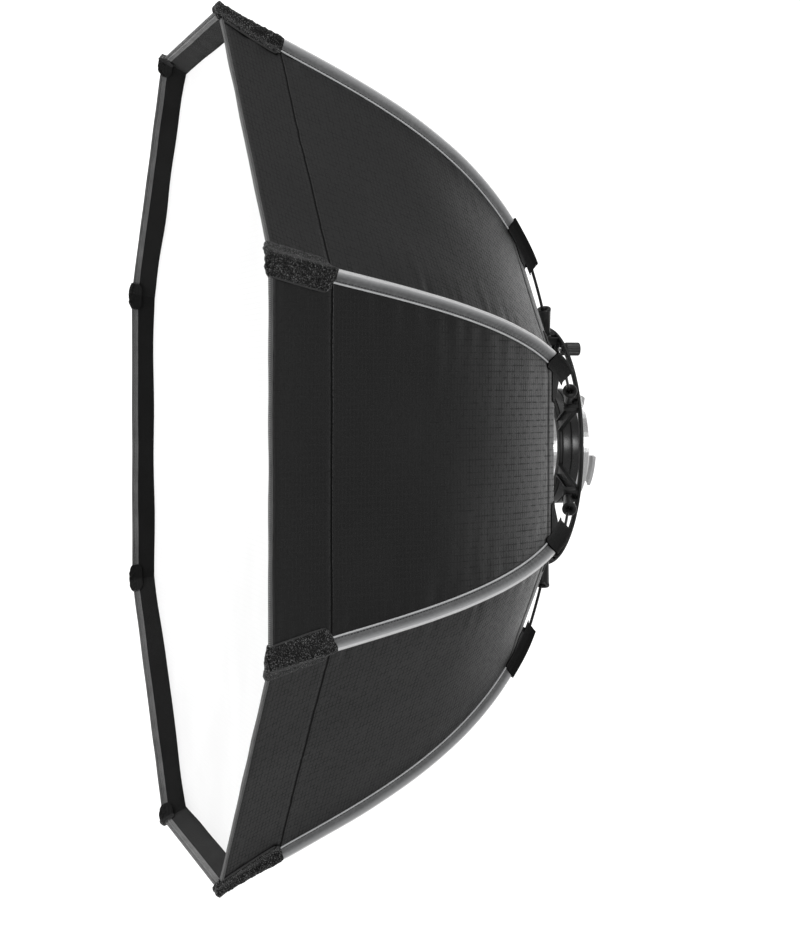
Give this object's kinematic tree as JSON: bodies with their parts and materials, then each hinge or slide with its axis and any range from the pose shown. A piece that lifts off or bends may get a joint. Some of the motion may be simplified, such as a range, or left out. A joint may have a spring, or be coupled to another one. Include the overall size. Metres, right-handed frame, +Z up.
{
  "type": "studio softbox",
  "caption": "Octagonal umbrella-style softbox with folding ribs, black fabric shell, recessed white diffuser and a rotating bayonet speed ring.",
  "frame": {"origin": "centre of the bayonet adapter's rear face, where it seats on the flash head", "axes": "+Y along the turning axis towards the flash head, so the light leaves along -Y; +Z up, +X to the right seen from the front"},
  "size_m": [0.8336, 0.42, 0.8336],
  "materials": {
    "black_fabric": "black ripstop nylon, slight sheen",
    "grey_tape": "grey satin binding tape",
    "black_webbing": "black woven nylon",
    "hook_and_loop": "black fuzzy loop strap",
    "white_fabric": "white translucent nylon",
    "black_plastic": "black moulded nylon, satin",
    "black_rod": "black coated spring steel",
    "silver_metal": "turned, clear",
    "steel": "plain"
  },
  "bodies": {
    "adapter": {"bayonet_adapter": "silver_metal", "retaining_ring": "black_plastic"},
    "hub": {"hub_frame": "black_plastic", "collar": "black_plastic", "collar_screw_1": "steel", "collar_screw_2": "steel", "collar_screw_3": "steel", "collar_screw_4": "steel", "front_diffuser": "white_fabric", "inner_baffle": "white_fabric"},
    "knob": {"lock_knob": "black_plastic", "lock_stud": "steel"},
    "rib_1": {"rod_holder_1": "black_plastic", "rib_rod_1": "black_rod", "shell_panel_1": "black_fabric", "rib_sleeve_1": "grey_tape", "end_tab_1": "black_webbing", "corner_cap_1": "hook_and_loop"},
    "rib_2": {"rod_holder_2": "black_plastic", "rib_rod_2": "black_rod", "shell_panel_2": "black_fabric", "rib_sleeve_2": "grey_tape", "end_tab_2": "black_webbing", "corner_cap_2": "hook_and_loop"},
    "rib_3": {"rod_holder_3": "black_plastic", "rib_rod_3": "black_rod", "shell_panel_3": "black_fabric", "rib_sleeve_3": "grey_tape", "end_tab_3": "black_webbing", "corner_cap_3": "hook_and_loop"},
    "rib_4": {"rod_holder_4": "black_plastic", "rib_rod_4": "black_rod", "shell_panel_4": "black_fabric", "rib_sleeve_4": "grey_tape", "end_tab_4": "black_webbing", "corner_cap_4": "hook_and_loop"},
    "rib_5": {"rod_holder_5": "black_plastic", "rib_rod_5": "black_rod", "shell_panel_5": "black_fabric", "rib_sleeve_5": "grey_tape", "end_tab_5": "black_webbing", "corner_cap_5": "hook_and_loop"},
    "rib_6": {"rod_holder_6": "black_plastic", "rib_rod_6": "black_rod", "shell_panel_6": "black_fabric", "rib_sleeve_6": "grey_tape", "end_tab_6": "black_webbing", "corner_cap_6": "hook_and_loop"},
    "rib_7": {"rod_holder_7": "black_plastic", "rib_rod_7": "black_rod", "shell_panel_7": "black_fabric", "rib_sleeve_7": "grey_tape", "end_tab_7": "black_webbing", "corner_cap_7": "hook_and_loop"},
    "rib_8": {"rod_holder_8": "black_plastic", "rib_rod_8": "black_rod", "shell_panel_8": "black_fabric", "rib_sleeve_8": "grey_tape", "end_tab_8": "black_webbing", "corner_cap_8": "hook_and_loop"}
  },
  "joints": [
    {"name": "box_rotation", "type": "hinge", "parent": "adapter", "child": "hub", "pos_m": [0, 0, 0], "axis": [0, 1, 0], "continuous": true},
    {"name": "knob_turn", "type": "hinge", "parent": "hub", "child": "knob", "pos_m": [0.06349, -0.0288, 0.10005], "axis": [0, 1, 0], "continuous": true},
    {"name": "rib_1_fold", "type": "hinge", "parent": "hub", "child": "rib_1", "pos_m": [0.10948, -0.0415, 0.04535], "axis": [0.3827, 0, -0.9239], "range_deg": [0, 44], "deforming": ["shell_panel_1", "front_diffuser", "inner_baffle"]},
    {"name": "rib_2_fold", "type": "hinge", "parent": "hub", "child": "rib_2", "pos_m": [0.04535, -0.0415, 0.10948], "axis": [0.9239, 0, -0.3827], "range_deg": [0, 44], "deforming": ["shell_panel_2"]},
    {"name": "rib_3_fold", "type": "hinge", "parent": "hub", "child": "rib_3", "pos_m": [-0.04535, -0.0415, 0.10948], "axis": [0.9239, 0, 0.3827], "range_deg": [0, 44], "deforming": ["shell_panel_3"]},
    {"name": "rib_4_fold", "type": "hinge", "parent": "hub", "child": "rib_4", "pos_m": [-0.10948, -0.0415, 0.04535], "axis": [0.3827, 0, 0.9239], "range_deg": [0, 44], "deforming": ["shell_panel_4"]},
    {"name": "rib_5_fold", "type": "hinge", "parent": "hub", "child": "rib_5", "pos_m": [-0.10948, -0.0415, -0.04535], "axis": [-0.3827, 0, 0.9239], "range_deg": [0, 44], "deforming": ["shell_panel_5"]},
    {"name": "rib_6_fold", "type": "hinge", "parent": "hub", "child": "rib_6", "pos_m": [-0.04535, -0.0415, -0.10948], "axis": [-0.9239, 0, 0.3827], "range_deg": [0, 44], "deforming": ["shell_panel_6"]},
    {"name": "rib_7_fold", "type": "hinge", "parent": "hub", "child": "rib_7", "pos_m": [0.04535, -0.0415, -0.10948], "axis": [-0.9239, 0, -0.3827], "range_deg": [0, 44], "deforming": ["shell_panel_7"]},
    {"name": "rib_8_fold", "type": "hinge", "parent": "hub", "child": "rib_8", "pos_m": [0.10948, -0.0415, -0.04535], "axis": [-0.3827, 0, -0.9239], "range_deg": [0, 44], "deforming": ["shell_panel_8"]}
  ],
  "couplings": [
    {"joint": "rib_2_fold", "follows": "rib_1_fold", "ratio": 1},
    {"joint": "rib_3_fold", "follows": "rib_1_fold", "ratio": 1},
    {"joint": "rib_4_fold", "follows": "rib_1_fold", "ratio": 1},
    {"joint": "rib_5_fold", "follows": "rib_1_fold", "ratio": 1},
    {"joint": "rib_6_fold", "follows": "rib_1_fold", "ratio": 1},
    {"joint": "rib_7_fold", "follows": "rib_1_fold", "ratio": 1},
    {"joint": "rib_8_fold", "follows": "rib_1_fold", "ratio": 1}
  ]
}
